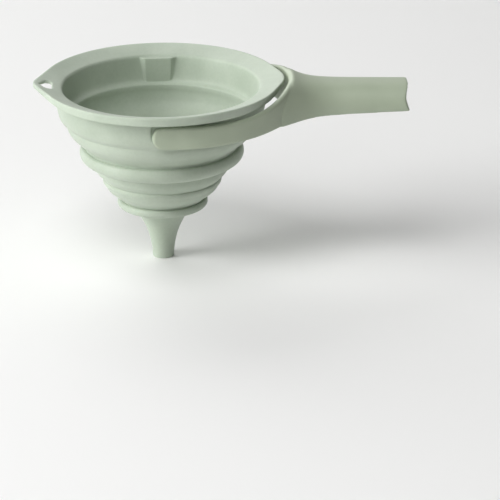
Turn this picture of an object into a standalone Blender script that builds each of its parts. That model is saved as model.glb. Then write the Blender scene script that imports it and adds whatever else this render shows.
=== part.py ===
"""Collapsible canning funnel: a soft stepped funnel with a rigid swinging yoke handle.

Metres, +Z up. The origin is the centre of the spout's outlet, on the funnel's axis.
The handle points along +X and hinges on two studs at the front (-Y) and back (+Y).
"""
import math

import bmesh
import bpy

MM = 0.001

# Fits
SEAM = 0.3 * MM  # between two pieces that touch
PASS_GAP = 4.5 * MM  # around a ring that pushes up through the hoop above it
PASS_GAP_TIGHT = 2.2 * MM  # the same at the middle hoop, whose fold is short
STUD_PLAY = 0.3 * MM  # a stud in its socket, on the radius
SOCKET_PLAY = 0.3 * MM  # a socket in the soft wall around it

# Mouth, flange and cup
MOUTH_RADIUS = 59.5 * MM
MOUTH_DROP = 4.0 * MM  # how far the flange's top slopes down to the mouth
FLANGE_ARC_WIDTH = 11.9 * MM  # the two long arcs of the outline, beyond the mouth
FLANGE_ARC_SHIFT = 2.0 * MM  # each arc's centre is this far from the axis, along Y
TIP_WIDTH_HANDLE = 14.8 * MM  # the pointed tip towards the handle, beyond the mouth
TIP_WIDTH_HANGING = 17.0 * MM  # the pointed tip with the hanging hole
TIP_RADIUS_HANDLE = 36.0 * MM
TIP_RADIUS_HANGING = 15.0 * MM
BAND_HEIGHT = 5.6 * MM  # the flange's outer edge, which turns down as a lip
BAND_THINNING = 2.9 * MM  # the lip is this much shallower at the two tips
BAND_FULL_WITHIN = 45.0 * MM  # distance from the middle at which it starts to thin
LIP_WIDTH = 2.2 * MM
FLANGE_WEB = 1.7 * MM  # thickness of the flange inside the lip
CUP_WALL = 4.8 * MM
CUP_DEPTH = 24.8 * MM
CUP_TAPER = 2.6 * MM  # the outer wall draws in by this before its rounded bottom
LEDGE_WIDTH = 5.5 * MM  # the ledge at the foot of the cup, measured in from the mouth
LEDGE_THICKNESS = 3.6 * MM

# Hanging hole: a rounded triangle whose point looks at the tip
HOLE_WIDTH = 19.0 * MM
HOLE_EDGE = 3.4 * MM  # soft wall left between the hole and the tip
HOLE_CORNER = 2.2 * MM

# Folds, rings and spout, from the top down
FOLD_THICKNESS = 1.4 * MM
FOLD_UPPER_HEIGHT = 15.9 * MM
RING_UPPER_HEIGHT = 10.2 * MM
RING_UPPER_SECTION = 11.3 * MM  # from its widest point in to its lower lip
FOLD_MIDDLE_HEIGHT = 8.9 * MM
RING_MIDDLE_HEIGHT = 4.4 * MM
RING_MIDDLE_SECTION = 4.3 * MM
FOLD_LOWER_HEIGHT = 8.8 * MM
SPOUT_HEIGHT = 38.3 * MM
RING_LOWER_HEIGHT = 6.2 * MM  # the bulge on top of the spout
SPOUT_RADIUS = 6.4 * MM
SPOUT_WALL = 1.6 * MM

# Pivot: boss inside the cup, hard socket in it, stud on the handle's arm
BOSS_DEPTH = 3.4 * MM  # how far the boss stands in from the mouth's edge
BOSS_HALF_WIDTH = 8.1 * MM
BOSS_FLANK = 3.6 * MM  # the slanted side faces
RECESS_DEPTH = 1.0 * MM
RECESS_MARGIN = 0.5 * MM
RECESS_CORNER = 6.5 * MM
SOCKET_RADIUS = 5.0 * MM
SOCKET_LENGTH = 4.4 * MM
STUD_RADIUS = 3.0 * MM
STUD_REACH = 3.2 * MM  # how deep the stud goes into the socket

# Handle
ARM_HEIGHT = 14.4 * MM
ARM_THICKNESS = 4.0 * MM
ARM_DROP = 8.2 * MM  # from the rim's top down to the arm's top edge
ARM_PLAY = 0.5 * MM  # between the arm and the floor of its recess
YOKE_GAP = 2.2 * MM  # between the rim's tip and the yoke
YOKE_STRAIGHT = 12.0 * MM  # the arms run straight this far past the pivot before they curve in
YOKE_SQUARENESS = 2.0  # exponent of the yoke's plan curve, 2 is an ellipse
YOKE_RISE = 8.0 * MM  # the yoke's top edge climbs by this towards the grip
YOKE_BOTTOM_RISE = 2.2 * MM
YOKE_FOOT = 2.6 * MM  # the yoke's inner face leans in by this at its lower edge
YOKE_FOOT_DROP = 1.0 * MM
GRIP_LENGTH = 68.2 * MM  # from the yoke's outer face to the grip's end
GRIP_HALF_WIDTH = 17.2 * MM
GRIP_OVER_ARM = 3.8 * MM  # the grip is this much taller than the arms
GRIP_WALL = 3.0 * MM
GRIP_FALL = 0.030  # slope of the grip's top line, per unit of length
GRIP_LIFT = 0.030  # slope of its bottom edge
FLARE_WIDTH = 18.0 * MM  # how much wider than the grip its root is, on each side
FLARE_CREST = 3.0 * MM
FLARE_LENGTH = 7.0 * MM  # over which the flare fades to a third
POCKETS = 3
RIB = 1.8 * MM
SCOOP_RADIUS = 12.0 * MM  # the hollowed end of the grip
SCOOP_DEPTH = 2.0 * MM

AROUND = 56  # facets round a turned piece
ALONG = 40  # sections along the yoke
ARCH_STEPS = 16  # facets across the grip

# Levels, worked out from the heights above
SPOUT_TOP = SPOUT_HEIGHT
FOLD_LOWER_TOP = SPOUT_TOP + 2 * SEAM + FOLD_LOWER_HEIGHT
RING_MIDDLE_TOP = FOLD_LOWER_TOP + RING_MIDDLE_HEIGHT
FOLD_MIDDLE_TOP = RING_MIDDLE_TOP + 2 * SEAM + FOLD_MIDDLE_HEIGHT
RING_UPPER_TOP = FOLD_MIDDLE_TOP + RING_UPPER_HEIGHT
FOLD_UPPER_TOP = RING_UPPER_TOP + 2 * SEAM + FOLD_UPPER_HEIGHT
RIM_TOP = FOLD_UPPER_TOP + CUP_DEPTH

# Radii, worked out from the mouth inwards
CUP_RADIUS = MOUTH_RADIUS + CUP_WALL
LEDGE_RADIUS = MOUTH_RADIUS - LEDGE_WIDTH
RING_UPPER_RADIUS = LEDGE_RADIUS - PASS_GAP
RING_UPPER_LIP = RING_UPPER_RADIUS - RING_UPPER_SECTION
RING_MIDDLE_RADIUS = RING_UPPER_LIP - PASS_GAP_TIGHT
RING_MIDDLE_BORE = RING_MIDDLE_RADIUS - RING_MIDDLE_SECTION
RING_LOWER_RADIUS = RING_MIDDLE_BORE - PASS_GAP

# Pivot axis, the yoke's plan and the grip's height
PIVOT_Z = RIM_TOP - ARM_DROP - ARM_HEIGHT / 2
RECESS_FLOOR = CUP_RADIUS - RECESS_DEPTH - CUP_TAPER / 4
ARM_INNER = RECESS_FLOOR + ARM_PLAY
YOKE_INNER_X = MOUTH_RADIUS + TIP_WIDTH_HANDLE + YOKE_GAP
BOSS_FACE = MOUTH_RADIUS - BOSS_DEPTH
GRIP_HEIGHT = ARM_HEIGHT + GRIP_OVER_ARM


def clear_scene():
    for item in list(bpy.data.objects):
        bpy.data.objects.remove(item, do_unlink=True)


def plastic(name, color, roughness):
    material = bpy.data.materials.new(name)
    material.use_nodes = True
    shader = material.node_tree.nodes["Principled BSDF"]
    shader.inputs["Base Color"].default_value = (*color, 1.0)
    shader.inputs["Roughness"].default_value = roughness
    shader.inputs["Metallic"].default_value = 0.0
    return material


def ease(value):
    value = min(1.0, max(0.0, value))
    return value * value * (3 - 2 * value)


def make_object(name, mesh_data, material):
    """Turn a bmesh into a named object with outward faces and smooth shading."""
    bmesh.ops.recalc_face_normals(mesh_data, faces=mesh_data.faces)
    mesh = bpy.data.meshes.new(name)
    mesh_data.to_mesh(mesh)
    mesh_data.free()
    mesh.shade_smooth()
    mesh.set_sharp_from_angle(angle=math.radians(40))
    item = bpy.data.objects.new(name, mesh)
    bpy.context.scene.collection.objects.link(item)
    if material:
        mesh.materials.append(material)
    return item


def skin(mesh_data, loops, wrap, caps=True):
    """Join closed loops of points with faces; wrap also joins the last to the first."""
    rings = [[mesh_data.verts.new(point) for point in loop] for loop in loops]
    pairs = list(zip(rings, rings[1:]))
    if wrap:
        pairs.append((rings[-1], rings[0]))
    for first, second in pairs:
        count = len(first)
        for index in range(count):
            after = (index + 1) % count
            mesh_data.faces.new((first[index], first[after], second[after], second[index]))
    if not wrap and caps:
        mesh_data.faces.new(rings[0])
        mesh_data.faces.new(rings[-1])
    return rings


def turned(name, profile, material, around=AROUND):
    """Turn a closed profile of (radius, height) points about the Z axis."""
    loops = []
    for radius, height in profile:
        loop = []
        for index in range(around):
            angle = 2 * math.pi * index / around
            loop.append((radius * math.cos(angle), radius * math.sin(angle), height))
        loops.append(loop)
    mesh_data = bmesh.new()
    skin(mesh_data, loops, wrap=True)
    return make_object(name, mesh_data, material)


def cut(item, cutter, operation="DIFFERENCE"):
    """Add an exact Boolean to an object and hide the cutter."""
    boolean = item.modifiers.new(cutter.name, "BOOLEAN")
    boolean.operation = operation
    boolean.solver = "EXACT"
    boolean.object = cutter
    cutter.hide_render = True
    cutter.display_type = "WIRE"


def prism(name, outline, low, high, plane="XY"):
    """Extrude a closed outline: along Z from an XY outline, or along Y from an XZ outline."""
    loops = []
    for level in (low, high):
        if plane == "XY":
            loops.append([(x, y, level) for x, y in outline])
        else:
            loops.append([(x, level, z) for x, z in outline])
    mesh_data = bmesh.new()
    skin(mesh_data, loops, wrap=False)
    return make_object(name, mesh_data, None)


def rounded_outline(corners, radius, steps=4):
    """A convex polygon, counter-clockwise, with each corner replaced by an arc."""
    points = []
    count = len(corners)
    for index in range(count):
        before = corners[index - 1]
        corner = corners[index]
        after = corners[(index + 1) % count]
        to_before = math.atan2(before[1] - corner[1], before[0] - corner[0])
        to_after = math.atan2(after[1] - corner[1], after[0] - corner[0])
        opening = (to_before - to_after) % (2 * math.pi)
        bisector = to_after + opening / 2
        reach = radius / math.sin(opening / 2)
        center = (corner[0] + reach * math.cos(bisector), corner[1] + reach * math.sin(bisector))
        turn = math.pi - opening
        for step in range(steps + 1):
            angle = bisector + math.pi - turn / 2 + turn * step / steps
            points.append((center[0] + radius * math.cos(angle), center[1] + radius * math.sin(angle)))
    return points


def rim_radius(angle):
    """Distance from the axis to the flange's outline: two long arcs and two rounded tips."""
    x = abs(math.cos(angle))
    y = abs(math.sin(angle))
    width, tip_radius = TIP_WIDTH_HANDLE, TIP_RADIUS_HANDLE
    if math.cos(angle) < 0:
        width, tip_radius = TIP_WIDTH_HANGING, TIP_RADIUS_HANGING
    arc_radius = MOUTH_RADIUS + FLANGE_ARC_WIDTH
    tip_center = MOUTH_RADIUS + width - tip_radius
    spread = math.hypot(tip_center, FLANGE_ARC_SHIFT)
    normal = math.acos((arc_radius - tip_radius) / spread) - math.atan2(FLANGE_ARC_SHIFT, tip_center)
    root = math.sqrt(arc_radius ** 2 - (FLANGE_ARC_SHIFT * x) ** 2)
    on_arc = FLANGE_ARC_SHIFT * y + root
    if math.atan2(on_arc * y - FLANGE_ARC_SHIFT, on_arc * x) >= normal:
        return on_arc
    flat = FLANGE_ARC_SHIFT * math.sin(normal) + arc_radius
    on_flat = flat / math.cos(math.atan2(y, x) - normal)
    if on_flat * y >= tip_radius * math.sin(normal):
        return on_flat
    return tip_center * x + math.sqrt(tip_radius ** 2 - (tip_center * y) ** 2)


def lip_rise(angle):
    """How much shallower the lip is here than in the middle of its long arcs."""
    x = rim_radius(angle) * abs(math.cos(angle))
    tip = MOUTH_RADIUS + (TIP_WIDTH_HANDLE if math.cos(angle) > 0 else TIP_WIDTH_HANGING)
    share = max(0.0, (x - BAND_FULL_WITHIN) / (tip - BAND_FULL_WITHIN))
    return BAND_THINNING * share ** 2


def hole_outline():
    """Rounded triangle between the cup's wall and the tip."""
    inner = -(CUP_RADIUS + 1.2 * MM)
    point = -(MOUTH_RADIUS + TIP_WIDTH_HANGING - HOLE_EDGE)
    half = HOLE_WIDTH / 2
    return rounded_outline([(point, 0.0), (inner, -half), (inner, half)], HOLE_CORNER)


def rim_cup(material):
    """Flange, cup wall and foot ledge, lofted between the outline and circles."""
    edge = 1.3 * MM
    top = RIM_TOP
    under = top - BAND_HEIGHT
    foot = top - CUP_DEPTH
    wall_foot = CUP_RADIUS - CUP_TAPER
    ledge_top = foot + LEDGE_THICKNESS
    rows = [
        ("rim", -edge, top),
        ("rim", 0.0, top - edge),
        ("lip", 0.0, under + 0.8 * MM),
        ("lip", -0.6 * MM, under),
        ("lip", -LIP_WIDTH, under),
        ("rim", -LIP_WIDTH - 0.4 * MM, top - 0.5 * MM - FLANGE_WEB),
        ("round", CUP_RADIUS + 0.7 * MM, top - 2.6 * MM - FLANGE_WEB),
        ("round", CUP_RADIUS, top - 3.4 * MM - FLANGE_WEB),
        ("round", CUP_RADIUS - CUP_TAPER / 2, under - 8.0 * MM),
        ("round", wall_foot, foot + 6.2 * MM),
        ("round", wall_foot - 1.0 * MM, foot + 2.8 * MM),
        ("round", wall_foot - 3.0 * MM, foot),
        ("round", LEDGE_RADIUS + 0.6 * MM, foot),
        ("round", LEDGE_RADIUS, foot + 0.8 * MM),
        ("round", LEDGE_RADIUS, ledge_top - 0.9 * MM),
        ("round", LEDGE_RADIUS + 0.9 * MM, ledge_top),
        ("round", MOUTH_RADIUS - 2.9 * MM, ledge_top + 1.0 * MM),
        ("round", MOUTH_RADIUS - 2.1 * MM, ledge_top + 2.6 * MM),
        ("round", MOUTH_RADIUS - 0.7 * MM, top - MOUTH_DROP - 2.6 * MM),
        ("round", MOUTH_RADIUS, top - MOUTH_DROP - 0.7 * MM),
        ("round", MOUTH_RADIUS + 1.4 * MM, top - MOUTH_DROP + 0.35 * MM),
    ]
    around = AROUND + 16
    loops = []
    for kind, size, height in rows:
        loop = []
        for index in range(around):
            angle = 2 * math.pi * index / around
            radius = size if kind == "round" else rim_radius(angle) + size
            rise = lip_rise(angle) if kind == "lip" else 0.0
            loop.append((radius * math.cos(angle), radius * math.sin(angle), height + rise))
        loops.append(loop)
    mesh_data = bmesh.new()
    skin(mesh_data, loops, wrap=True)
    item = make_object("rim_cup", mesh_data, material)

    cut(item, prism("hanging_hole_cutter", hole_outline(), under - BAND_HEIGHT, top + BAND_HEIGHT))

    for side, label in ((-1, "front"), (1, "back")):
        cut(item, boss(label, side), "UNION")
        cut(item, recess(label, side))
        pocket = cylinder_y(
            "socket_pocket_" + label,
            SOCKET_RADIUS + SOCKET_PLAY,
            side * (RECESS_FLOOR + BAND_HEIGHT),
            side * (RECESS_FLOOR - SOCKET_LENGTH - SOCKET_PLAY),
            24,
        )
        cut(item, pocket)
    return item


def boss(label, side):
    """The block inside the wall, whose slanted flanks narrow towards the ledge."""
    low = RIM_TOP - CUP_DEPTH + LEDGE_THICKNESS / 2
    high = RIM_TOP - MOUTH_DROP - 0.7 * MM
    buried = MOUTH_RADIUS + 1.6 * MM
    loops = []
    for height, narrow in ((low, 0.7 * MM), (high, 0.0)):
        face = BOSS_HALF_WIDTH - narrow
        loops.append([
            (-face - BOSS_FLANK, side * buried, height),
            (-face - BOSS_FLANK, side * (BOSS_FACE + 2.2 * MM), height),
            (-face, side * BOSS_FACE, height),
            (face, side * BOSS_FACE, height),
            (face + BOSS_FLANK, side * (BOSS_FACE + 2.2 * MM), height),
            (face + BOSS_FLANK, side * buried, height),
        ])
    mesh_data = bmesh.new()
    skin(mesh_data, loops, wrap=False)
    return make_object("boss_" + label, mesh_data, None)


def recess(label, side):
    """The flat outside the wall in which the arm's round end sits."""
    half = ARM_HEIGHT / 2 + RECESS_MARGIN
    low = PIVOT_Z - half
    high = RIM_TOP - BAND_HEIGHT - SEAM
    corners = [(-half, low), (half + 6 * MM, low), (half + 6 * MM, high), (-half, high)]
    levels = sorted((side * RECESS_FLOOR, side * (CUP_RADIUS + BAND_HEIGHT)))
    return prism("recess_" + label, rounded_outline(corners, RECESS_CORNER), levels[0], levels[1], "XZ")


def cylinder_y(name, radius, start, end, facets):
    """A cylinder along Y through the pivot axis."""
    outline = []
    for index in range(facets):
        angle = 2 * math.pi * index / facets
        outline.append((radius * math.cos(angle), PIVOT_Z + radius * math.sin(angle)))
    low, high = sorted((start, end))
    return prism(name, outline, low, high, "XZ")


def pivot_socket(label, side, material):
    """A hard cup moulded into the soft boss, open towards the handle's stud."""
    item = cylinder_y(
        "pivot_socket_" + label,
        SOCKET_RADIUS,
        side * (RECESS_FLOOR - 0.1 * MM),
        side * (RECESS_FLOOR - SOCKET_LENGTH),
        24,
    )
    item.data.materials.append(material)
    bore = cylinder_y(
        "socket_bore_" + label,
        STUD_RADIUS + STUD_PLAY,
        side * (RECESS_FLOOR + BAND_HEIGHT),
        side * (RECESS_FLOOR - STUD_REACH - STUD_PLAY),
        24,
    )
    cut(item, bore)
    return item


def fold(name, outer, material):
    """A thin fold between two hoops; outer is its outer side from top to bottom."""
    inner = [(radius - FOLD_THICKNESS, height) for radius, height in reversed(outer)]
    return turned(name, outer + inner, material)


def fold_upper(material):
    top = FOLD_UPPER_TOP - SEAM
    low = RING_UPPER_TOP + SEAM
    wide = CUP_RADIUS - CUP_TAPER - 3.6 * MM
    narrow = RING_UPPER_RADIUS - 1.0 * MM
    height = top - low
    reach = wide - narrow
    outer = [
        (wide, top),
        (wide - 0.20 * reach, top - 0.30 * height),
        (wide - 0.45 * reach, top - 0.53 * height),
        (wide - 0.78 * reach, top - 0.76 * height),
        (wide - 0.93 * reach, top - 0.89 * height),
        (narrow, low),
    ]
    return fold("fold_upper", outer, material)


def ring_upper(material):
    """The widest bulge: a thick hoop whose foot turns in to a lip."""
    top = RING_UPPER_TOP
    low = FOLD_MIDDLE_TOP
    wide = RING_UPPER_RADIUS
    lip = RING_UPPER_LIP
    profile = [(wide - 1.0 * MM, top), (wide - 0.2 * MM, top - 2.6 * MM), (wide, top - 5.0 * MM)]
    profile += [(wide - 1.3 * MM, top - 7.4 * MM), (wide - 4.4 * MM, top - 9.3 * MM)]
    profile += [(lip + 3.6 * MM, low), (lip, low), (lip, low + 2.2 * MM)]
    profile += [(lip + 4.0 * MM, low + 4.2 * MM), (wide - 3.6 * MM, top - 4.2 * MM), (wide - 3.8 * MM, top)]
    return turned("ring_upper", profile, material)


def fold_middle(material):
    top = FOLD_MIDDLE_TOP - SEAM
    low = RING_MIDDLE_TOP + SEAM
    wide = RING_UPPER_LIP + 2.9 * MM
    narrow = RING_MIDDLE_RADIUS
    height = top - low
    reach = wide - narrow
    outer = [
        (wide, top),
        (wide - 0.12 * reach, top - 0.40 * height),
        (wide - 0.42 * reach, top - 0.66 * height),
        (wide - 0.80 * reach, top - 0.88 * height),
        (narrow, low),
    ]
    return fold("fold_middle", outer, material)


def ring_middle(material):
    """The small stepped hoop between the two lower folds."""
    top = RING_MIDDLE_TOP
    low = FOLD_LOWER_TOP
    wide = RING_MIDDLE_RADIUS
    bore = RING_MIDDLE_BORE
    profile = [(wide - 0.4 * MM, top), (wide, top - 1.0 * MM), (wide - 0.2 * MM, top - 2.4 * MM)]
    profile += [(wide - 1.0 * MM, low), (bore + 0.4 * MM, low), (bore, low + 1.2 * MM), (bore + 0.4 * MM, top)]
    return turned("ring_middle", profile, material)


def fold_lower(material):
    top = FOLD_LOWER_TOP - SEAM
    low = SPOUT_TOP + SEAM
    wide = RING_MIDDLE_RADIUS - 1.2 * MM
    narrow = RING_LOWER_RADIUS - 0.6 * MM
    height = top - low
    reach = wide - narrow
    outer = [
        (wide, top),
        (wide - 0.16 * reach, top - 0.22 * height),
        (wide - 0.42 * reach, top - 0.45 * height),
        (wide - 0.78 * reach, top - 0.74 * height),
        (narrow, low),
    ]
    return fold("fold_lower", outer, material)


def spout(material):
    """The lowest bulge and, below it, the nozzle that flares up into it."""
    top = SPOUT_TOP
    waist = top - RING_LOWER_HEIGHT
    wide = RING_LOWER_RADIUS
    throat = wide - 9.6 * MM
    outer = [(wide - 0.6 * MM, top), (wide, top - 1.6 * MM), (wide, top - 3.2 * MM)]
    outer += [(wide - 0.9 * MM, top - 4.5 * MM), (wide - 3.4 * MM, top - 5.7 * MM), (throat, waist)]
    nozzle = []
    steps = 8
    for index in range(1, steps + 1):
        share = index / steps
        flare = (throat - SPOUT_RADIUS - 1.4 * MM) * (1 - share) ** 2.3
        radius = SPOUT_RADIUS + 1.4 * MM * (1 - share) + flare
        nozzle.append((radius, waist * (1 - share)))
    outer += nozzle
    inner = [(radius - SPOUT_WALL, height) for radius, height in reversed(nozzle)]
    inner += [(throat - 2.2 * MM, waist + 1.2 * MM), (wide - 5.6 * MM, waist + 2.6 * MM)]
    inner += [(wide - 2.8 * MM, top - 2.2 * MM), (wide - 2.8 * MM, top)]
    return turned("spout", outer + inner, material, around=48)


def yoke_point(turn):
    """Plan point on the yoke's inner face, and the outward normal there."""
    power = 2 / YOKE_SQUARENESS
    cosine = max(0.0, math.cos(turn))
    sine = math.sin(turn)
    reach = YOKE_INNER_X - YOKE_STRAIGHT
    x = reach * cosine ** power
    y = math.copysign(ARM_INNER * abs(sine) ** power, sine)
    slope_x = (x / reach) ** (YOKE_SQUARENESS - 1) / reach
    slope_y = math.copysign((abs(y) / ARM_INNER) ** (YOKE_SQUARENESS - 1), y) / ARM_INNER
    size = math.hypot(slope_x, slope_y)
    return YOKE_STRAIGHT + x, y, slope_x / size, slope_y / size


def yoke_levels(x, y):
    """Bottom and top of the yoke's band at a plan point, and the share of its foot there."""
    climb = ease((0.93 * ARM_INNER - abs(y)) / (0.72 * ARM_INNER))
    top = RIM_TOP - ARM_DROP + YOKE_RISE * climb
    bottom = PIVOT_Z - ARM_HEIGHT / 2 + YOKE_BOTTOM_RISE * ease(x / YOKE_INNER_X)
    foot = ease((0.80 * ARM_INNER - abs(y)) / (0.40 * ARM_INNER))
    return bottom, top, foot


def band_section(x, y, normal_x, normal_y, bottom, top, foot=0.0):
    """Rounded rectangle across the band; its inner face leans in at the foot."""
    soften = min(1.3 * MM, 0.3 * (top - bottom))
    lean = foot * YOKE_FOOT
    low = bottom - foot * YOKE_FOOT_DROP
    rows = [(-lean, low + soften), (soften - lean, low), (ARM_THICKNESS - soften, bottom)]
    rows += [(ARM_THICKNESS, bottom + soften), (ARM_THICKNESS, top - soften)]
    rows += [(ARM_THICKNESS - soften, top), (soften, top), (0.0, top - soften)]
    return [(x + out * normal_x, y + out * normal_y, height) for out, height in rows]


def yoke_band(material):
    """The U-shaped band with its two round arm ends."""
    radius = ARM_HEIGHT / 2
    ends = 6
    loops = []
    for side in (-1, 1):
        stretch = []
        for index in range(ends):
            angle = math.radians(4 + 86 * index / ends)
            x = -radius * math.cos(angle)
            half = radius * math.sin(angle)
            stretch.append(band_section(x, side * ARM_INNER, 0.0, side, PIVOT_Z - half, PIVOT_Z + half))
        if side < 0:
            loops += stretch
            for index in range(ALONG + 1):
                turn = math.radians(-90 + 180 * index / ALONG)
                x, y, normal_x, normal_y = yoke_point(turn)
                bottom, top, foot = yoke_levels(x, y)
                loops.append(band_section(x, y, normal_x, normal_y, bottom, top, foot))
        else:
            loops += reversed(stretch)
    mesh_data = bmesh.new()
    skin(mesh_data, loops, wrap=False)
    return make_object("handle", mesh_data, material)


def grip_sizes(x):
    """Half width, bottom and top of the grip at a distance along X."""
    root = YOKE_INNER_X + ARM_THICKNESS
    along = x - root
    fade = math.exp(-max(0.0, along) / FLARE_LENGTH)
    half = GRIP_HALF_WIDTH + FLARE_WIDTH * fade
    bottom = PIVOT_Z - ARM_HEIGHT / 2 + YOKE_BOTTOM_RISE + GRIP_LIFT * along
    top = bottom + GRIP_HEIGHT + FLARE_CREST * fade - (GRIP_FALL + GRIP_LIFT) * along
    return half, bottom, top


def arch_section(x, bend, half, bottom, top, below):
    """Arch across the grip, then its foot line back; bend makes both follow the yoke's curve."""
    power = 2 / 2.5
    outer_x = YOKE_INNER_X + ARM_THICKNESS / 2
    outer_y = ARM_INNER + ARM_THICKNESS / 2
    foot = 0.1 * MM + below
    arch = []
    line = []
    for index in range(ARCH_STEPS + 1):
        angle = math.pi * index / ARCH_STEPS
        cosine = math.cos(angle)
        y = math.copysign(half * abs(cosine) ** power, -cosine)
        z = bottom + (top - bottom) * max(0.0, math.sin(angle)) ** power
        curved = (1 - (abs(y) / outer_y) ** YOKE_SQUARENESS) ** (1 / YOKE_SQUARENESS)
        drawn = YOKE_STRAIGHT + (outer_x - YOKE_STRAIGHT) * curved
        arch.append((x - bend * (outer_x - drawn), y, z))
        line.append((x - bend * (outer_x - drawn), y, bottom - foot))
    return arch + line[::-1]


def grip_solid(name, start, end, inset, below, material):
    """The grip between two distances along X, or a pocket inset from its skin."""
    root = YOKE_INNER_X + ARM_THICKNESS / 2
    sections = 14
    loops = []
    for index in range(sections + 1):
        x = start + (end - start) * (index / sections) ** 1.5
        half, bottom, top = grip_sizes(x)
        bend = math.exp(-max(0.0, x - root) / (1.6 * FLARE_LENGTH))
        loops.append(arch_section(x, bend, half - inset, bottom, top - inset, below))
    mesh_data = bmesh.new()
    rings = skin(mesh_data, loops, wrap=False, caps=False)
    for ring in (rings[0], rings[-1]):
        for index in range(ARCH_STEPS):
            mesh_data.faces.new((ring[index], ring[index + 1], ring[-2 - index], ring[-1 - index]))
    return make_object(name, mesh_data, material)


def handle(material):
    """Yoke, flared grip with pockets underneath, hollowed end and two studs: one moulding."""
    item = yoke_band(material)
    root = YOKE_INNER_X + ARM_THICKNESS / 2
    end = YOKE_INNER_X + ARM_THICKNESS + GRIP_LENGTH
    cut(item, grip_solid("grip_solid", root, end, 0.0, 0.0, None), "UNION")
    first = root + ARM_THICKNESS / 2 + GRIP_WALL
    length = (end - SCOOP_DEPTH - GRIP_WALL - first - (POCKETS - 1) * RIB) / POCKETS
    for index in range(POCKETS):
        start = first + index * (length + RIB)
        name = "pocket_" + str(index + 1)
        cut(item, grip_solid(name, start, start + length, GRIP_WALL, GRIP_HEIGHT / 2, None))
    half, bottom, top = grip_sizes(end)
    scoop = []
    for index in range(40):
        angle = 2 * math.pi * index / 40
        x = end - SCOOP_DEPTH + SCOOP_RADIUS + SCOOP_RADIUS * math.cos(angle)
        scoop.append((x, (bottom + top) / 2 + SCOOP_RADIUS * math.sin(angle)))
    cut(item, prism("end_scoop", scoop, -2 * half, 2 * half, "XZ"))
    for side, label in ((-1, "front"), (1, "back")):
        stud = cylinder_y(
            "stud_" + label,
            STUD_RADIUS,
            side * (ARM_INNER + ARM_THICKNESS / 2),
            side * (RECESS_FLOOR - STUD_REACH),
            20,
        )
        cut(item, stud, "UNION")
    return item


def build():
    clear_scene()
    silicone = plastic("silicone", (0.50, 0.60, 0.49), 0.55)
    hard = plastic("handle_plastic", (0.46, 0.55, 0.44), 0.45)
    socket_plastic = plastic("socket_plastic", (0.42, 0.50, 0.41), 0.45)
    rim_cup(silicone)
    fold_upper(silicone.copy())
    ring_upper(silicone.copy())
    fold_middle(silicone.copy())
    ring_middle(silicone.copy())
    fold_lower(silicone.copy())
    spout(silicone.copy())
    pivot_socket("front", -1, socket_plastic)
    pivot_socket("back", 1, socket_plastic.copy())
    grip = handle(hard)
    # The handle's own origin is on its hinge axis
    for vertex in grip.data.vertices:
        vertex.co.z -= PIVOT_Z
    grip.location.z = PIVOT_Z


build()
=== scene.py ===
import math

import bmesh
import bpy
from mathutils import Matrix, Vector


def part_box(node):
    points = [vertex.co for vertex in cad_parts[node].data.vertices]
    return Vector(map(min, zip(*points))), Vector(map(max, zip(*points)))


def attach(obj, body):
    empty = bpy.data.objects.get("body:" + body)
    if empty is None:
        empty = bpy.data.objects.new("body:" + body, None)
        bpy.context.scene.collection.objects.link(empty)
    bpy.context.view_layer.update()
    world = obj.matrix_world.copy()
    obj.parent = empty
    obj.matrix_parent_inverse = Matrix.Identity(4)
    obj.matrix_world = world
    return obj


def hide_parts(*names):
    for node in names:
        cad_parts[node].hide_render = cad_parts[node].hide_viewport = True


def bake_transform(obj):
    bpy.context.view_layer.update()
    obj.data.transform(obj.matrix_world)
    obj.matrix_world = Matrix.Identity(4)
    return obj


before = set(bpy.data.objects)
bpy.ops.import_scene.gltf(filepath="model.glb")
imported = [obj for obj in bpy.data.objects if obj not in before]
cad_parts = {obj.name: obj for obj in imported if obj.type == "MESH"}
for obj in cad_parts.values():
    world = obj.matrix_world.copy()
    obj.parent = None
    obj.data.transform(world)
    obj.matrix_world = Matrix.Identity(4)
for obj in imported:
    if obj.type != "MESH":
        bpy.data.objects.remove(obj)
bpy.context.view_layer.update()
mm = 0.001


def smoothStep(value):
    value = min(1.0, max(0.0, value))
    return value * value * (3 - 2 * value)


def hexToLinear(code):
    channels = [int(code[i:i + 2], 16) / 255 for i in (1, 3, 5)]
    return [c / 12.92 if c <= 0.04045 else ((c + 0.055) / 1.055) ** 2.4 for c in channels] + [1.0]


def addNode(tree, kind, settings=None, links=None):
    # settings are properties or input values, links go from an output to one of this node's inputs
    node = tree.nodes.new(kind)
    for key, value in (settings or {}).items():
        if isinstance(key, int) or key in node.inputs:
            node.inputs[key].default_value = value
        else:
            setattr(node, key, value)
    for key, output in (links or {}).items():
        tree.links.new(output, node.inputs[key])
    return node


def meshObject(name, points, faces):
    mesh = bpy.data.meshes.new(name)
    mesh.from_pydata(points, [], faces)
    tidy = bmesh.new()
    tidy.from_mesh(mesh)
    bmesh.ops.recalc_face_normals(tidy, faces=tidy.faces)
    tidy.to_mesh(mesh)
    tidy.free()
    mesh.shade_smooth()
    made = bpy.data.objects.new(name, mesh)
    bpy.context.scene.collection.objects.link(made)
    return made


def bakeModifiers(item):
    bpy.context.view_layer.update()
    shaped = item.evaluated_get(bpy.context.evaluated_depsgraph_get())
    mesh = bpy.data.meshes.new_from_object(shaped)
    old = item.data
    item.modifiers.clear()
    item.data = mesh
    bpy.data.meshes.remove(old)
    mesh.name = item.name


def combine(item, tools, operation):
    # cuts the tools from the item, or joins them to it, and removes them
    for tool in tools:
        step = item.modifiers.new(tool.name, "BOOLEAN")
        step.operation = operation
        step.solver = "EXACT"
        step.object = tool
    bakeModifiers(item)
    for tool in tools:
        bpy.data.objects.remove(tool, do_unlink=True)


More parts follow.
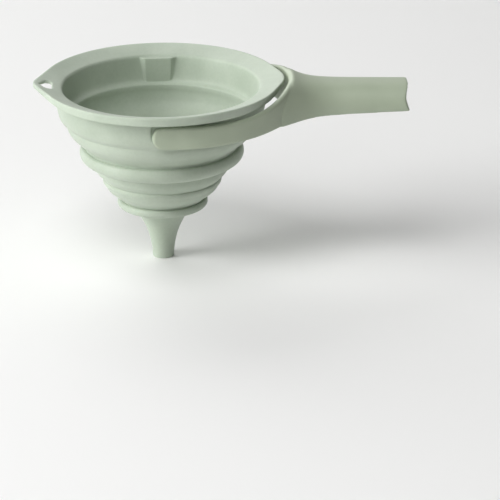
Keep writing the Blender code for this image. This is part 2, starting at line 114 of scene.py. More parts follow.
def skinLoops(loops, wrap):
    # faces between neighbouring loops of the same length
    count = len(loops[0])
    points = [p for loop in loops for p in loop]
    faces = []
    for i in range(len(loops) if wrap else len(loops) - 1):
        first, second = i * count, ((i + 1) % len(loops)) * count
        for j in range(count):
            k = (j + 1) % count
            faces.append((first + j, second + j, second + k, first + k))
    return points, faces


# the height, turn and distance that the object is seen from
viewer = {
    "distance": 2.10,  # to the middle of the rim
    "tilt": 21.0,  # degrees below the horizon
    "turn": 3.0,
    "roll": 0.4,
    "aimRight": 0.0536,  # the aim is this far right of the rim's middle
    "aimBelow": 0.1027,
    "lens": 252.0,
    "sensor": 36.0,
}

rimLow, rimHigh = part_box("rim_cup")
rimTop = rimHigh.z
tilt = math.radians(viewer["tilt"])
lean = Matrix(((1, 0, 0), (0, math.sin(tilt), math.cos(tilt)), (0, math.cos(tilt), -math.sin(tilt))))
axes = Matrix.Rotation(math.radians(viewer["roll"]), 3, "Z") @ lean
axes = axes @ Matrix.Rotation(math.radians(viewer["turn"]), 3, "Z")
rightward, upward, forward = axes[0].copy(), axes[1].copy(), axes[2].copy()
cameraData = bpy.data.cameras.new("camera")
cameraData.lens = viewer["lens"]
cameraData.sensor_width = viewer["sensor"]
cameraData.clip_end = 30.0
camera = bpy.data.objects.new("camera", cameraData)
bpy.context.scene.collection.objects.link(camera)
place = Vector((0, 0, rimTop)) + viewer["aimRight"] * rightward - viewer["aimBelow"] * upward
place -= viewer["distance"] * forward
camera.matrix_world = Matrix.Translation(place) @ Matrix((rightward, upward, -forward)).transposed().to_4x4()
bpy.context.scene.camera = camera
print("camera placed")


def mouldedSilicone():
    # Silicone rubber pressed in a blasted steel mould: matt and slightly cloudy, a little light
    # goes in and out again, and the skin looks powdery at a flat angle.
    silicone = {
        "pale": "#B9C4B4",
        "deep": "#ACB8A7",
        "ior": 1.41,
        "roughness": 0.52,
        "cloud": 22 * mm,  # pigment clouds
        "speckle": 1.6 * mm,
        "grain": 0.45 * mm,  # a blasted skin is about 0.1 mm, drawn coarser so that it shows
        "bump": 0.10,
        "bumpDepth": 0.05 * mm,
        "translucent": 0.12,
        "lightReach": 1.5 * mm,  # how far light goes in
        "powder": 0.12,  # sheen of the powdery skin
        "powderSpread": 0.45,
    }
    material = bpy.data.materials.new("moulded silicone, sage")
    material.use_nodes = True
    tree = material.node_tree
    shader = tree.nodes["Principled BSDF"]
    place = addNode(tree, "ShaderNodeTexCoord").outputs["Object"]
    cloud = addNode(tree, "ShaderNodeTexNoise", {
        "Scale": 1 / silicone["cloud"], "Detail": 3.0}, {"Vector": place})
    speckle = addNode(tree, "ShaderNodeTexNoise", {
        "Scale": 1 / silicone["speckle"], "Detail": 2.0}, {"Vector": place})
    both = addNode(tree, "ShaderNodeMath", {"operation": "MULTIPLY_ADD", 1: 0.35}, {
        0: speckle.outputs["Fac"], 2: cloud.outputs["Fac"]})  # clouds with a third as much speckle
    colour = addNode(tree, "ShaderNodeValToRGB", {}, {"Fac": both.outputs["Value"]})
    colour.color_ramp.elements[0].position = 0.45
    colour.color_ramp.elements[0].color = hexToLinear(silicone["deep"])
    colour.color_ramp.elements[1].position = 0.90
    colour.color_ramp.elements[1].color = hexToLinear(silicone["pale"])
    tree.links.new(colour.outputs["Color"], shader.inputs["Base Color"])
    gloss = addNode(tree, "ShaderNodeMapRange", {
        "To Min": silicone["roughness"] - 0.05, "To Max": silicone["roughness"] + 0.06}, {
        "Value": cloud.outputs["Fac"]})
    tree.links.new(gloss.outputs["Result"], shader.inputs["Roughness"])
    grain = addNode(tree, "ShaderNodeTexNoise", {
        "Scale": 1 / silicone["grain"], "Detail": 3.0}, {"Vector": place})
    bump = addNode(tree, "ShaderNodeBump", {
        "Strength": silicone["bump"], "Distance": silicone["bumpDepth"]}, {
        "Height": grain.outputs["Fac"]})
    tree.links.new(bump.outputs["Normal"], shader.inputs["Normal"])
    shader.inputs["IOR"].default_value = silicone["ior"]
    shader.inputs["Subsurface Weight"].default_value = silicone["translucent"]
    shader.inputs["Subsurface Radius"].default_value = (1.0, 1.0, 0.8)  # blue goes in least
    shader.inputs["Subsurface Scale"].default_value = silicone["lightReach"]
    shader.inputs["Sheen Weight"].default_value = silicone["powder"]
    shader.inputs["Sheen Roughness"].default_value = silicone["powderSpread"]
    return material


def mouldedPolypropylene():
    # Injection-moulded polypropylene from a spark-eroded tool: satin, with a fine even grain and
    # a soft broad highlight along every rounded edge.
    plastic = {
        "pale": "#AEB9A3",
        "deep": "#A5B09A",
        "ior": 1.49,
        "roughness": 0.42,
        "flow": 30 * mm,  # slow changes where the melt flowed
        "grain": 0.35 * mm,  # spark erosion leaves about 0.05 mm, drawn coarser so that it shows
        "bump": 0.12,
        "bumpDepth": 0.05 * mm,
    }
    material = bpy.data.materials.new("moulded polypropylene, sage")
    material.use_nodes = True
    tree = material.node_tree
    shader = tree.nodes["Principled BSDF"]
    place = addNode(tree, "ShaderNodeTexCoord").outputs["Object"]
    flow = addNode(tree, "ShaderNodeTexNoise", {
        "Scale": 1 / plastic["flow"], "Detail": 4.0}, {"Vector": place})
    colour = addNode(tree, "ShaderNodeValToRGB", {}, {"Fac": flow.outputs["Fac"]})
    colour.color_ramp.elements[0].position = 0.35
    colour.color_ramp.elements[0].color = hexToLinear(plastic["deep"])
    colour.color_ramp.elements[1].position = 0.65
    colour.color_ramp.elements[1].color = hexToLinear(plastic["pale"])
    tree.links.new(colour.outputs["Color"], shader.inputs["Base Color"])
    grain = addNode(tree, "ShaderNodeTexNoise", {
        "Scale": 1 / plastic["grain"], "Detail": 2.0}, {"Vector": place})
    gloss = addNode(tree, "ShaderNodeMapRange", {
        "To Min": plastic["roughness"] - 0.05, "To Max": plastic["roughness"] + 0.05}, {
        "Value": grain.outputs["Fac"]})
    tree.links.new(gloss.outputs["Result"], shader.inputs["Roughness"])
    bump = addNode(tree, "ShaderNodeBump", {
        "Strength": plastic["bump"], "Distance": plastic["bumpDepth"]}, {
        "Height": grain.outputs["Fac"]})
    tree.links.new(bump.outputs["Normal"], shader.inputs["Normal"])
    shader.inputs["IOR"].default_value = plastic["ior"]
    return material


def mouldedNylon():
    # Nylon of the hard sockets: a shade darker, smooth and a little waxy where the stud turns.
    nylon = {"pale": "#9DAA96", "deep": "#8F9C89", "ior": 1.53, "roughness": 0.36, "wear": 1.2 * mm}
    material = bpy.data.materials.new("moulded nylon")
    material.use_nodes = True
    tree = material.node_tree
    shader = tree.nodes["Principled BSDF"]
    place = addNode(tree, "ShaderNodeTexCoord").outputs["Object"]
    wear = addNode(tree, "ShaderNodeTexNoise", {
        "Scale": 1 / nylon["wear"], "Detail": 3.0}, {"Vector": place})
    colour = addNode(tree, "ShaderNodeValToRGB", {}, {"Fac": wear.outputs["Fac"]})
    colour.color_ramp.elements[0].color = hexToLinear(nylon["deep"])
    colour.color_ramp.elements[1].color = hexToLinear(nylon["pale"])
    tree.links.new(colour.outputs["Color"], shader.inputs["Base Color"])
    gloss = addNode(tree, "ShaderNodeMapRange", {
        "To Min": nylon["roughness"] - 0.06, "To Max": nylon["roughness"] + 0.06}, {
        "Value": wear.outputs["Fac"]})
    tree.links.new(gloss.outputs["Result"], shader.inputs["Roughness"])
    shader.inputs["IOR"].default_value = nylon["ior"]
    return material


silicone = mouldedSilicone()
polypropylene = mouldedPolypropylene()
nylon = mouldedNylon()
print("materials made")


# the soft bowl is four lofts that meet in the creases of its folds
bowl = {
    "mouth": 59.5,  # radius, mm
    "mouthDrop": 4.0,  # how far the flange's top slopes down to the mouth
    "arcBeyond": 11.9,  # the flange's outline: two long arcs ...
    "arcShift": 2.0,
    "roundHandle": 36.0,  # ... and two rounded tips, the handle's blunter
    "roundHanging": 15.0,
    "band": 5.6,  # height of the flange's turned-down lip
    "bandThinning": 2.9,  # the lip is this much shallower at the two tips
    "bandFullWithin": 45.0,
    "lip": 2.2,
    "web": 1.7,
    "cup": 64.3,  # radius of the cup's wall outside
    "ledge": 54.0,
    "spacing": 1.3,  # distance between the rows of the mesh
    "closest": 0.03,  # rows nearer than this are one row
    "step": 1.6,  # degrees between the mesh's columns ...
    "stepAtPivot": 0.45,  # ... and in the piece with the bosses and the tips
    "stepAtTip": 0.9,
    "stepBetween": 1.5,
    "pivotWithin": 18,  # degrees
    "tipWithin": 16,
}
bowl["tipHandle"] = rimHigh.x / mm - bowl["mouth"]
bowl["tipHanging"] = -rimLow.x / mm - bowl["mouth"]


def outlineRadius(angle):
    # distance from the axis to the flange's edge, in mm
    x, y = abs(math.cos(angle)), abs(math.sin(angle))
    end = "Handle" if math.cos(angle) > 0 else "Hanging"
    tipRound = bowl["round" + end]
    arc = bowl["mouth"] + bowl["arcBeyond"]
    middle = bowl["mouth"] + bowl["tip" + end] - tipRound
    shift = bowl["arcShift"]
    normal = math.acos((arc - tipRound) / math.hypot(middle, shift)) - math.atan2(shift, middle)
    onArc = shift * y + math.sqrt(arc ** 2 - (shift * x) ** 2)
    if math.atan2(onArc * y - shift, onArc * x) >= normal:
        return onArc
    onFlat = (shift * math.sin(normal) + arc) / math.cos(math.atan2(y, x) - normal)
    if onFlat * y >= tipRound * math.sin(normal):
        return onFlat
    return middle * x + math.sqrt(tipRound ** 2 - (middle * y) ** 2)


def lipRise(angle):
    # how much shallower the lip is here, in mm
    x = outlineRadius(angle) * abs(math.cos(angle))
    tip = bowl["mouth"] + (bowl["tipHandle"] if math.cos(angle) > 0 else bowl["tipHanging"])
    return bowl["bandThinning"] * max(0.0, (x - bowl["bandFullWithin"]) / (tip - bowl["bandFullWithin"])) ** 2


def softProfile(corners):
    # A closed section through its corners, in mm. Each is (share of the outline, radius, height,
    # rounding), with a 1 at the end where the height follows the lip.
    nominal = bowl["mouth"] + bowl["arcBeyond"]
    rows = []

    def flat(row):
        return Vector((row[0] * nominal + row[1], row[2]))

    def add(row):
        if not rows or (flat(row) - flat(rows[-1])).length > bowl["closest"]:
            rows.append(row)

    def fill(start, end):
        steps = int((flat(end) - flat(start)).length / bowl["spacing"])
        for i in range(1, steps + 1):
            add(start.lerp(end, i / (steps + 1)))

    for i, corner in enumerate(corners):
        before, here, after = [Vector((*c[:3], c[4] if len(c) > 4 else 0))
                               for c in (corners[i - 1], corner, corners[(i + 1) % len(corners)])]
        back = (flat(before) - flat(here)).length
        on = (flat(after) - flat(here)).length
        start = here.lerp(before, min(corner[3] / back, 0.5))
        end = here.lerp(after, min(corner[3] / on, 0.5))
        if rows:
            fill(rows[-1], start)
        steps = 4 + int(min(corner[3], 0.5 * back, 0.5 * on) / 0.8)
        for k in range(steps + 1):
            t = k / steps
            add((1 - t) ** 2 * start + 2 * t * (1 - t) * here + t ** 2 * end)
    fill(rows[-1], rows[0])
    if (flat(rows[-1]) - flat(rows[0])).length < bowl["closest"]:
        rows.pop()
    return rows


def aroundAngles(fine):
    # even steps, closer at the pivots and the two tips when fine
    angles, angle = [], 0.0
    while angle < 360 - 1e-6:
        angles.append(math.radians(angle))
        step = bowl["step"]
        if fine:
            step = bowl["stepBetween"]
            if min(angle, abs(angle - 180), 360 - angle) < bowl["tipWithin"]:
                step = bowl["stepAtTip"]
            if min(abs(angle - 90), abs(angle - 270)) < bowl["pivotWithin"]:
                step = bowl["stepAtPivot"]
        angle += step
    return angles


def turnedPiece(name, corners, fine=False, press=None):
    rows = softProfile(corners)
    angles = aroundAngles(fine)
    loops = []
    for share, reach, height, follow in rows:
        loop = []
        for angle in angles:
            radius = share * outlineRadius(angle) + reach
            level = height + follow * lipRise(angle)
            point = [radius * math.cos(angle), radius * math.sin(angle), level]
            if press and share == 0:
                press(point)
            loop.append([c * mm for c in point])
        loops.append(loop)
    piece = meshObject(name, *skinLoops(loops, wrap=True))
    piece.data.materials.append(silicone)
    return piece


pivotZ = (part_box("pivot_socket_front")[0].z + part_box("pivot_socket_front")[1].z) / 2 / mm
pivot = {
    "bossFace": 56.1,  # the block inside the wall
    "bossHalf": 8.1,
    "bossNarrow": 0.7,
    "bossFlank": 3.6,  # width of its slanted side faces ...
    "bossSlant": 2.2,  # ... and how far they fall back
    "recessFloor": 61.7,  # the flat outside, under the arm's round end
    "recessLeft": -7.7,
    "recessRight": 13.7,
    "recessBelow": 7.7,
    "recessRound": 6.4,
    "recessEdge": 0.8,  # width of its softened edge
    "inside": 59.8,  # the wall's inner skin lies within this, its outer skin beyond the next
    "outside": 60.6,
    "bossFoot": 2.9,  # above the cup's foot
    "bossDrop": 0.5,  # from the mouth's edge down to the boss
    "bossTopEase": 0.9,
    "bossEase": 0.06,  # rounding of its edges, mm squared
    "pocket": 5.3,  # radius of the hole for the hard socket
    "pocketFloor": 57.95,
    "pocketMouth": 70.0,
}
top = rimTop / mm
foot = rimLow.z / mm


def pressPivots(point):
    # flattens the wall into the boss inside and the recess outside
    x, y, z = point
    reach, side = abs(y), 1 if y > 0 else -1
    if math.hypot(x, y) < pivot["inside"] and z > foot + pivot["bossFoot"]:
        high = top - bowl["mouthDrop"] - pivot["bossDrop"]
        half = pivot["bossHalf"] - pivot["bossNarrow"] * (high - z) / (high - foot - 1.8)
        beyond = max(0.0, abs(x) - half) / pivot["bossFlank"]
        face = pivot["bossFace"] + pivot["bossSlant"] * beyond + 30 * max(0.0, beyond - 1.05)
        up = 1 - smoothStep((z - high + pivot["bossTopEase"]) / pivot["bossTopEase"])
        over = reach - face
        reach -= up * (over + math.sqrt(over ** 2 + pivot["bossEase"])) / 2
    elif math.hypot(x, y) > pivot["outside"] and z > foot:
        low = pivotZ - pivot["recessBelow"]
        high = top - bowl["band"] - 0.3
        halfX = (pivot["recessRight"] - pivot["recessLeft"]) / 2 - pivot["recessRound"]
        halfZ = (high - low) / 2 - pivot["recessRound"]
        outX = abs(x - (pivot["recessRight"] + pivot["recessLeft"]) / 2) - halfX
        outZ = abs(z - (high + low) / 2) - halfZ
        beyond = math.hypot(max(outX, 0), max(outZ, 0)) + min(max(outX, outZ), 0) - pivot["recessRound"]
        inside = 1 - smoothStep(beyond / pivot["recessEdge"] + 0.5)
        reach -= inside * max(0.0, reach - pivot["recessFloor"])
    point[1] = side * reach


def holeCutter():
    # a rounded triangle whose point looks at the tip, flared where it meets both faces of the flange
    hole = {"width": 24.0, "edge": 3.4, "corner": 2.2, "flare": 0.55}
    inner = -(bowl["cup"] + 1.2)
    point = -(bowl["mouth"] + bowl["tipHanging"] - hole["edge"])
    slope = bowl["mouthDrop"] / bowl["tipHanging"]
    corners = [Vector((point, 0)), Vector((inner, -hole["width"] / 2)), Vector((inner, hole["width"] / 2))]
    web, flare = bowl["web"], hole["flare"]
    levels = [(-12, 0), (-web - 0.5, flare * 1.6), (-web, flare), (-web + 0.2, flare * 0.4)]
    levels += [(-web + 0.5, 0), (-0.6, 0), (-0.25, flare * 0.35)]
    levels += [(0.0, flare), (0.3, flare * 2), (6, flare * 2)]
    loops = []
    for above, grow in levels:
        loop = []
        for i, corner in enumerate(corners):
            toBefore = (corners[i - 1] - corner).normalized()
            toAfter = (corners[(i + 1) % 3] - corner).normalized()
            middle = (toBefore + toAfter).normalized()
            half = toBefore.angle(toAfter) / 2
            radius = hole["corner"] + grow
            centre = corner + middle * hole["corner"] / math.sin(half)
            start = math.atan2(-middle.y, -middle.x)
            for k in range(9):
                angle = start + (math.pi / 2 - half) * (k / 4 - 1)
                x = centre.x + radius * math.cos(angle)
                y = centre.y + radius * math.sin(angle)
                plate = top - bowl["mouthDrop"] + slope * (-x - bowl["mouth"])
                loop.append((x * mm, y * mm, (plate + above) * mm))
        loops.append(loop)
    points, faces = skinLoops(loops, wrap=False)
    count = len(loops[0])
    faces += [tuple(range(count)), tuple(range(len(points) - count, len(points)))]
    return meshObject("hole cutter", points, faces)


def roundCutter(name, radius, low, high):
    # a cylinder along Y on the handle's axis
    loops = [[(radius * math.cos(a) * mm, y * mm, (pivotZ + radius * math.sin(a)) * mm)
              for a in [math.tau * i / 48 for i in range(48)]] for y in (low, high)]
    points, faces = skinLoops(loops, wrap=False)
    faces += [tuple(range(48)), tuple(range(48, 96))]
    return meshObject(name, points, faces)


soft = 99.0  # a corner that is as round as its neighbours allow
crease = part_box("ring_upper")[1].z / mm
wall = bowl["cup"]
rimProfile = [
    (1, 0, top, 1.3),  # the flange's edge, and its lip turned down
    (1, 0, top - bowl["band"], 0.8, 1),
    (1, -bowl["lip"], top - bowl["band"], 0.6, 1),
    (1, -bowl["lip"] - 0.4, top - 0.5 - bowl["web"], 0.8),
    (0, wall, top - 3.0 - bowl["web"], 1.2),  # outside of the cup
    (0, wall - 1.3, foot + 11.4, soft),
    (0, wall - 2.0, foot + 6.6, soft),
    (0, wall - 3.2, foot + 2.6, soft),
    (0, wall - 6.0, foot + 0.2, 1.2),
    (0, 57.0, foot - 0.6, 0.7),  # the dark step under the cup
    (0, 57.2, foot - 3.4, soft),  # outside of the fold
    (0, 55.2, foot - 7.4, soft),
    (0, 51.6, foot - 10.8, soft),
    (0, 48.4, foot - 13.4, soft),
    (0, 46.6, foot - 15.2, soft),
    (0, 46.4, crease - 0.7, 0.3),
    (0, 45.3, crease - 0.7, 0.3),  # its foot, sunk in the ring, then its inside
    (0, 45.3, foot - 15.4, soft),
    (0, 47.0, foot - 13.6, soft),
    (0, 50.2, foot - 11.0, soft),
    (0, 52.9, foot - 7.6, soft),
    (0, 53.9, foot - 4.0, soft),
    (0, 54.2, foot - 1.2, soft),
    (0, bowl["ledge"], foot + 0.8, 0.5),  # the ledge, and the inside of the cup
    (0, bowl["ledge"], foot + 3.7, 1.1),
    (0, 56.8, foot + 4.6, 1.4),
    (0, 57.9, foot + 7.2, soft),
    (0, 58.8, top - bowl["mouthDrop"] - 2.6, soft),
    (0, bowl["mouth"] - 0.1, top - bowl["mouthDrop"], 1.2),
]
rimCup = turnedPiece("rimCup", rimProfile, fine=True, press=pressPivots)
pockets = [holeCutter()]
for label, side in (("front", -1), ("back", 1)):
    ends = sorted((side * pivot["pocketFloor"], side * pivot["pocketMouth"]))
    pockets.append(roundCutter("pocket " + label, pivot["pocket"], *ends))
combine(rimCup, pockets, "DIFFERENCE")
rimCup.data.shade_smooth()
rimCup.data.set_sharp_from_angle(angle=math.radians(50))
print("rim, cup and upper fold made")

ringTop = crease
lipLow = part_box("ring_upper")[0].z / mm
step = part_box("ring_middle")[1].z / mm
upperProfile = [
    (0, 46.6, ringTop, 0.6),  # the widest bulge
    (0, 48.6, ringTop - 0.3, 1.2),
    (0, 49.6, ringTop - 2.6, soft),
    (0, 49.7, ringTop - 5.0, soft),
    (0, 48.4, ringTop - 7.6, soft),
    (0, 45.0, ringTop - 9.4, soft),
    (0, 41.6, lipLow - 0.1, 0.5),  # its lower lip, and the fold below
    (0, 41.0, lipLow - 0.5, 0.4),
    (0, 40.5, lipLow - 4.0, soft),
    (0, 39.0, lipLow - 6.2, soft),
    (0, 36.9, lipLow - 8.2, soft),
    (0, 35.5, step - 0.3, 0.4),
    (0, 35.2, step - 0.9, 0.3),
    (0, 34.2, step - 0.9, 0.3),  # inside of the fold
    (0, 35.5, lipLow - 8.2, soft),
    (0, 37.6, lipLow - 6.2, soft),
    (0, 39.1, lipLow - 4.0, soft),
    (0, 39.6, lipLow + 0.1, 0.6),
    (0, 38.2, lipLow + 0.2, 0.6),  # inside of the bulge
    (0, 38.2, lipLow + 2.2, 1.0),
    (0, 42.2, lipLow + 4.2, 1.6),
    (0, 44.4, ringTop - 4.2, soft),
    (0, 44.2, ringTop, 0.7),
]
ringUpper = turnedPiece("ringUpper", upperProfile)

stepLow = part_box("ring_middle")[0].z / mm
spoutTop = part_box("spout")[1].z / mm
middleProfile = [
    (0, 35.7, step, 0.8),  # the small step, and the fold below
    (0, 36.2, step - 1.3, soft),
    (0, 36.0, step - 2.8, soft),
    (0, 34.9, stepLow + 0.2, 0.6),
    (0, 34.5, stepLow - 0.4, 0.4),
    (0, 33.5, stepLow - 2.3, soft),
    (0, 31.4, stepLow - 4.4, soft),
    (0, 27.8, stepLow - 6.9, soft),
    (0, 25.4, spoutTop + 0.3, soft),
    (0, 24.8, spoutTop - 0.7, 0.3),
    (0, 23.8, spoutTop - 0.7, 0.3),  # inside of the fold
    (0, 24.0, spoutTop + 0.3, soft),
    (0, 26.4, stepLow - 6.9, soft),
    (0, 30.0, stepLow - 4.4, soft),
    (0, 32.1, stepLow - 2.3, soft),
    (0, 33.0, stepLow + 0.0, 0.5),
    (0, 31.9, stepLow + 0.3, 0.5),  # inside of the step
    (0, 31.8, stepLow + 1.4, soft),
    (0, 32.1, step, 0.8),
]
ringMiddle = turnedPiece("ringMiddle", middleProfile)
print("rings and folds made")

nozzle = {
    "radius": 6.4,  # at the outlet
    "spread": 1.4,  # even taper on top of that
    "throat": 17.6,  # radius where the taper meets the bulge
    "flare": 2.3,  # exponent of its curve
    "wall": 1.6,
    "bulge": 6.2,  # height of the bulge above the taper
    "rows": 26,
}
waist = spoutTop - nozzle["bulge"]
outer, inner = [], []
for i in range(1, nozzle["rows"] + 1):
    rest = 1 - i / nozzle["rows"]
    radius = nozzle["radius"] + nozzle["spread"] * rest
    radius += (nozzle["throat"] - nozzle["radius"] - nozzle["spread"]) * rest ** nozzle["flare"]
    rounding = 0.5 if i == nozzle["rows"] else soft
    outer.append((0, radius, waist * rest, rounding))
    inner.insert(0, (0, radius - nozzle["wall"], waist * rest, rounding))
spoutProfile = [
    (0, 25.0, spoutTop, 0.6),  # the lowest bulge
    (0, 26.8, spoutTop - 0.2, 1.0),
    (0, 27.5, spoutTop - 2.0, soft),
    (0, 27.3, spoutTop - 3.8, soft),
    (0, 26.0, spoutTop - 5.1, soft),
    (0, 22.6, spoutTop - 5.9, soft),
    (0, nozzle["throat"] + 0.6, waist + 0.1, 0.8),
] + outer + inner + [
    (0, nozzle["throat"] - 2.2, waist + 1.4, soft),
    (0, 21.6, waist + 2.8, soft),
    (0, 23.4, spoutTop - 2.2, soft),
    (0, 23.2, spoutTop, 0.6),
]
spout = turnedPiece("spoutNozzle", spoutProfile)
print("spout made")


# the handle is a U-shaped band with a flared grip, pockets beneath it, a hollowed end and two studs
handleLow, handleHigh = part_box("handle")
handle = {
    "armHeight": 14.4,
    "thick": 4.0,
    "edge": 1.5,  # rounding along the band's edges
    "drop": 8.2,  # from the rim's top to the arm's top edge
    "inner": -handleLow.y / mm - 4.0,  # from the axis to the band's inner face, at the arms
    "apex": 76.5,  # ... and at the yoke
    "straight": 12.0,  # the arms run straight this far before they curve in
    "rise": 8.0,  # the yoke's top edge climbs by this towards the grip ...
    "climbFrom": 0.93,  # ... between these shares of the half width
    "climbOver": 0.72,
    "lowRise": 2.2,
    "foot": 2.6,  # the yoke's inner face leans in by this at its lower edge ...
    "footDrop": 1.0,  # ... which hangs this much lower ...
    "footFrom": 0.80,  # ... again between these shares
    "footOver": 0.40,
    "gripEnd": handleHigh.x / mm,
    "gripHalf": 17.2,
    "gripHeight": 18.2,
    "wall": 3.0,
    "fall": 0.030,  # slope of the grip's top line
    "lift": 0.030,  # slope of its bottom edge
    "flareWidth": 18.0,  # how much wider the grip's root is, on each side
    "flareCrest": 3.0,
    "flareLength": 7.0,  # over which the flare fades to a third
    "pockets": 3,
    "rib": 1.8,
    "scoopRadius": 12.0,
    "scoopDepth": 2.0,
    "stud": 3.0,
    "studEnd": 59.45,
    "armSections": 14,
    "yokeSections": 140,
    "bevel": 0.5,  # slope of the bevel round an arm's end ...
    "bevelWidth": 1.6,
    "archPower": 0.8,  # squareness of the grip's section, 1 would be an ellipse
    "bendOver": 1.6,  # the yoke's curve fades from the grip over this many flare lengths
    "crowding": 1.5,  # brings the grip's sections closer at its root
    "voxel": 0.55,  # remesh size, which makes one skin of the band, grip and studs
    "softening": 10,  # rounds over every edge of the moulding
}


def bandSection(x, y, normal, low, high, inset=0.0, footShare=0.0):
    # a rounded rectangle standing on the band's inner face, which leans in at its foot
    thick = handle["thick"]
    edge = min(handle["edge"], 0.42 * (high - low))
    leanIn, drop = footShare * handle["foot"], footShare * handle["footDrop"]
    loop = []
    for cx, cz, start in ((edge - leanIn, low - drop + edge, 180), (thick - inset - edge, low + edge, 270),
                          (thick - inset - edge, high - edge, 0), (edge, high - edge, 90)):
        for k in range(4):
            angle = math.radians(start + 30 * k)
            out = cx + edge * math.cos(angle)
            up = cz + edge * math.sin(angle)
            loop.append(((x + out * normal.x) * mm, (y + out * normal.y) * mm, up * mm))
    return loop


def yokeBand():
    radius = handle["armHeight"] / 2
    loops = []
    for side in (-1, 1):
        stretch = []
        for i in range(handle["armSections"]):
            angle = math.radians(3 + 87 * i / handle["armSections"])
            x, half = -radius * math.cos(angle), radius * math.sin(angle)
            inset = handle["bevel"] * max(0.0, handle["bevelWidth"] - (radius + x))
            stretch.append(bandSection(x, side * handle["inner"], Vector((0, side)),
                                       pivotZ - half, pivotZ + half, inset))
        if side < 0:
            loops += stretch
            reach = handle["apex"] - handle["straight"]
            for i in range(handle["yokeSections"] + 1):
                turn = math.radians(-90 + 180 * i / handle["yokeSections"])
                x = handle["straight"] + reach * math.cos(turn)
                y = handle["inner"] * math.sin(turn)
                slope = Vector((math.cos(turn) / reach, math.sin(turn) / handle["inner"]))
                climb = smoothStep((handle["climbFrom"] * handle["inner"] - abs(y))
                                   / (handle["climbOver"] * handle["inner"]))
                footShare = smoothStep((handle["footFrom"] * handle["inner"] - abs(y))
                                       / (handle["footOver"] * handle["inner"]))
                high = top - handle["drop"] + handle["rise"] * climb
                low = pivotZ - radius + handle["lowRise"] * smoothStep(x / handle["apex"])
                loops.append(bandSection(x, y, slope.normalized(), low, high, footShare=footShare))
        else:
            loops += stretch[::-1]
    points, faces = skinLoops(loops, wrap=False)
    count = len(loops[0])
    faces += [tuple(range(count)), tuple(range(len(points) - count, len(points)))]
    return meshObject("handleGrip", points, faces)


def gripSizes(x):
    along = x - handle["apex"] - handle["thick"]
    fade = math.exp(-max(0.0, along) / handle["flareLength"])
    half = handle["gripHalf"] + handle["flareWidth"] * fade
    low = pivotZ - handle["armHeight"] / 2 + handle["lowRise"] + handle["lift"] * along
    high = low + handle["gripHeight"] + handle["flareCrest"] * fade
    high -= (handle["fall"] + handle["lift"]) * along
    return half, low, high


def gripSolid(name, start, end, inset, below):
    # arch sections; near the yoke they follow its curve
    middle = handle["apex"] + handle["thick"] / 2
    width = handle["inner"] + handle["thick"] / 2
    across, sections = 40, 44
    loops = []
    for i in range(sections + 1):
        x = start + (end - start) * (i / sections) ** handle["crowding"]
        half, low, high = gripSizes(x)
        bend = math.exp(-max(0.0, x - middle) / (handle["bendOver"] * handle["flareLength"]))
        arch, line = [], []
        for k in range(across + 1):
            angle = math.pi * k / across
            share = abs(math.cos(angle)) ** handle["archPower"]
            y = math.copysign((half - inset) * share, -math.cos(angle))
            z = low + (high - inset - low) * max(0.0, math.sin(angle)) ** handle["archPower"]
            drawn = handle["straight"] + (middle - handle["straight"]) * math.sqrt(1 - (y / width) ** 2)
            shifted = (x - bend * (middle - drawn)) * mm
            arch.append((shifted, y * mm, z * mm))
            line.append((shifted, y * mm, (low - 0.1 - below) * mm))
        loops.append(arch + line[::-1])
    points, faces = skinLoops(loops, wrap=False)
    count = len(loops[0])
    for first in (0, len(points) - count):
        for k in range(across):
            faces.append((first + k, first + k + 1, first + count - 2 - k, first + count - 1 - k))
    return meshObject(name, points, faces)


def endScoop():
    half, low, high = gripSizes(handle["gripEnd"])
    radius = handle["scoopRadius"]
    centre = handle["gripEnd"] - handle["scoopDepth"] + radius
    loops = [[((centre + radius * math.cos(a)) * mm, y * mm, ((low + high) / 2 + radius * math.sin(a)) * mm)
              for a in [math.tau * i / 96 for i in range(96)]] for y in (-30, 30)]
    points, faces = skinLoops(loops, wrap=False)
    faces += [tuple(range(96)), tuple(range(96, 192))]
    return meshObject("end scoop", points, faces)


grip = yokeBand()
root = handle["apex"] + handle["thick"] / 2
combine(grip, [gripSolid("grip", root, handle["gripEnd"], 0, 0)], "UNION")
first = root + handle["thick"] / 2 + handle["wall"]
length = (handle["gripEnd"] - handle["scoopDepth"] - handle["wall"] - first
          - (handle["pockets"] - 1) * handle["rib"]) / handle["pockets"]
cutters = [endScoop()]
for i in range(handle["pockets"]):
    start = first + i * (length + handle["rib"])
    cutters.append(gripSolid("pocket " + str(i), start, start + length,
                             handle["wall"], handle["gripHeight"] / 2))
combine(grip, cutters, "DIFFERENCE")
studs = []
for label, side in (("front", -1), ("back", 1)):
    studs.append(roundCutter("stud " + label, handle["stud"], *sorted(
        (side * handle["studEnd"], side * (handle["inner"] + handle["thick"] / 2)))))
combine(grip, studs, "UNION")
remesh = grip.modifiers.new("remesh", "REMESH")
remesh.mode = "VOXEL"
remesh.voxel_size = handle["voxel"] * mm
smooth = grip.modifiers.new("soften", "SMOOTH")
smooth.factor = 0.5
smooth.iterations = handle["softening"]
bakeModifiers(grip)
grip.data.shade_smooth()
grip.data.materials.append(polypropylene)
print("handle made,", len(grip.data.polygons), "faces")


# the hard sockets keep their CAD shape
for label in ("front", "back"):
    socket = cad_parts["pivot_socket_" + label]
    socket.data.materials.clear()
    socket.data.materials.append(nylon)


# what moves with what: each fold turns over from the piece above it to the piece below
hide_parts("rim_cup", "fold_upper")
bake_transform(rimCup)
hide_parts("ring_upper", "fold_middle")
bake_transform(ringUpper)
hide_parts("ring_middle", "fold_lower")
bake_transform(ringMiddle)
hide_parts("spout")
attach(spout, "spout")
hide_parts("handle")
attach(grip, "handle")
print("pieces ride on the frame")


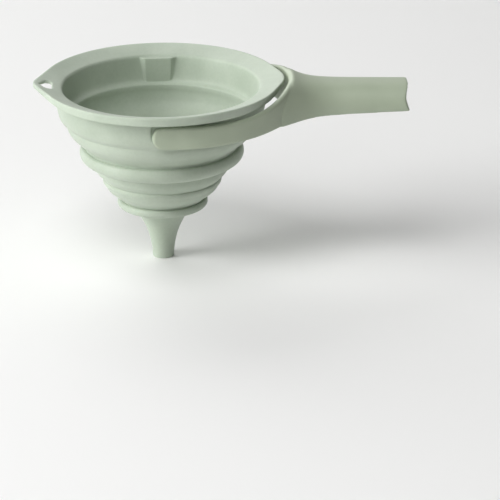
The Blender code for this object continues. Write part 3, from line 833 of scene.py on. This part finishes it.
def floorAndBackdrop():
    # matt white board that curves up behind the object
    board = {"front": -3.0, "back": 3.2, "half": 4.0, "curve": 1.2, "high": 3.0}
    section = [(board["front"], 0.0), (board["back"] - board["curve"], 0.0)]
    for i in range(1, 13):
        angle = math.radians(90 * i / 12)
        section.append((board["back"] - board["curve"] + board["curve"] * math.sin(angle),
                        board["curve"] * (1 - math.cos(angle))))
    section.append((board["back"], board["high"]))
    points = [(x, y, z) for y, z in section for x in (-board["half"], board["half"])]
    faces = [(2 * i, 2 * i + 1, 2 * i + 3, 2 * i + 2) for i in range(len(section) - 1)]
    floor = meshObject("floor", points, faces)
    material = bpy.data.materials.new("matt white board")
    material.use_nodes = True
    shader = material.node_tree.nodes["Principled BSDF"]
    shader.inputs["Base Color"].default_value = hexToLinear("#F2F2F1")
    shader.inputs["Roughness"].default_value = 0.9
    shader.inputs["Specular IOR Level"].default_value = 0.1
    floor.data.materials.append(material)
    return floor


floorAndBackdrop()


def softLight(name, azimuth, elevation, power, size):
    # a square soft box that looks at the bowl; azimuth 0 is in front, 90 on the right
    a, e = math.radians(azimuth), math.radians(elevation)
    data = bpy.data.lights.new(name, "AREA")
    data.shape = "SQUARE"
    data.size = size
    data.energy = power
    light = bpy.data.objects.new(name, data)
    bpy.context.scene.collection.objects.link(light)
    away = Vector((math.sin(a) * math.cos(e), -math.cos(a) * math.cos(e), math.sin(e)))
    light.location = Vector((0, 0, studio["aimHeight"])) + away * studio["distance"]
    light.rotation_euler = away.to_track_quat("Z", "Y").to_euler()


studio = {
    "aimHeight": 0.07,
    "distance": 2.8,  # behind the viewer, so that no box stands in the view
    "ambient": 0.06,
    # name, azimuth, elevation, watts and the box's side in metres
    "boxes": [("window", -78, 20, 72, 1.6), ("front", -25, 40, 19, 1.6),
              ("top", -35, 66, 26, 1.4), ("back", -160, 35, 28, 1.8)],
}
for box in studio["boxes"]:
    softLight(*box)
world = bpy.data.worlds.new("studio")
world.use_nodes = True
world.node_tree.nodes["Background"].inputs["Color"].default_value = (1, 1, 1, 1)
world.node_tree.nodes["Background"].inputs["Strength"].default_value = studio["ambient"]
bpy.context.scene.world = world
bpy.context.scene.view_settings.view_transform = "Standard"  # colours show as their hex values
print("stage lit")
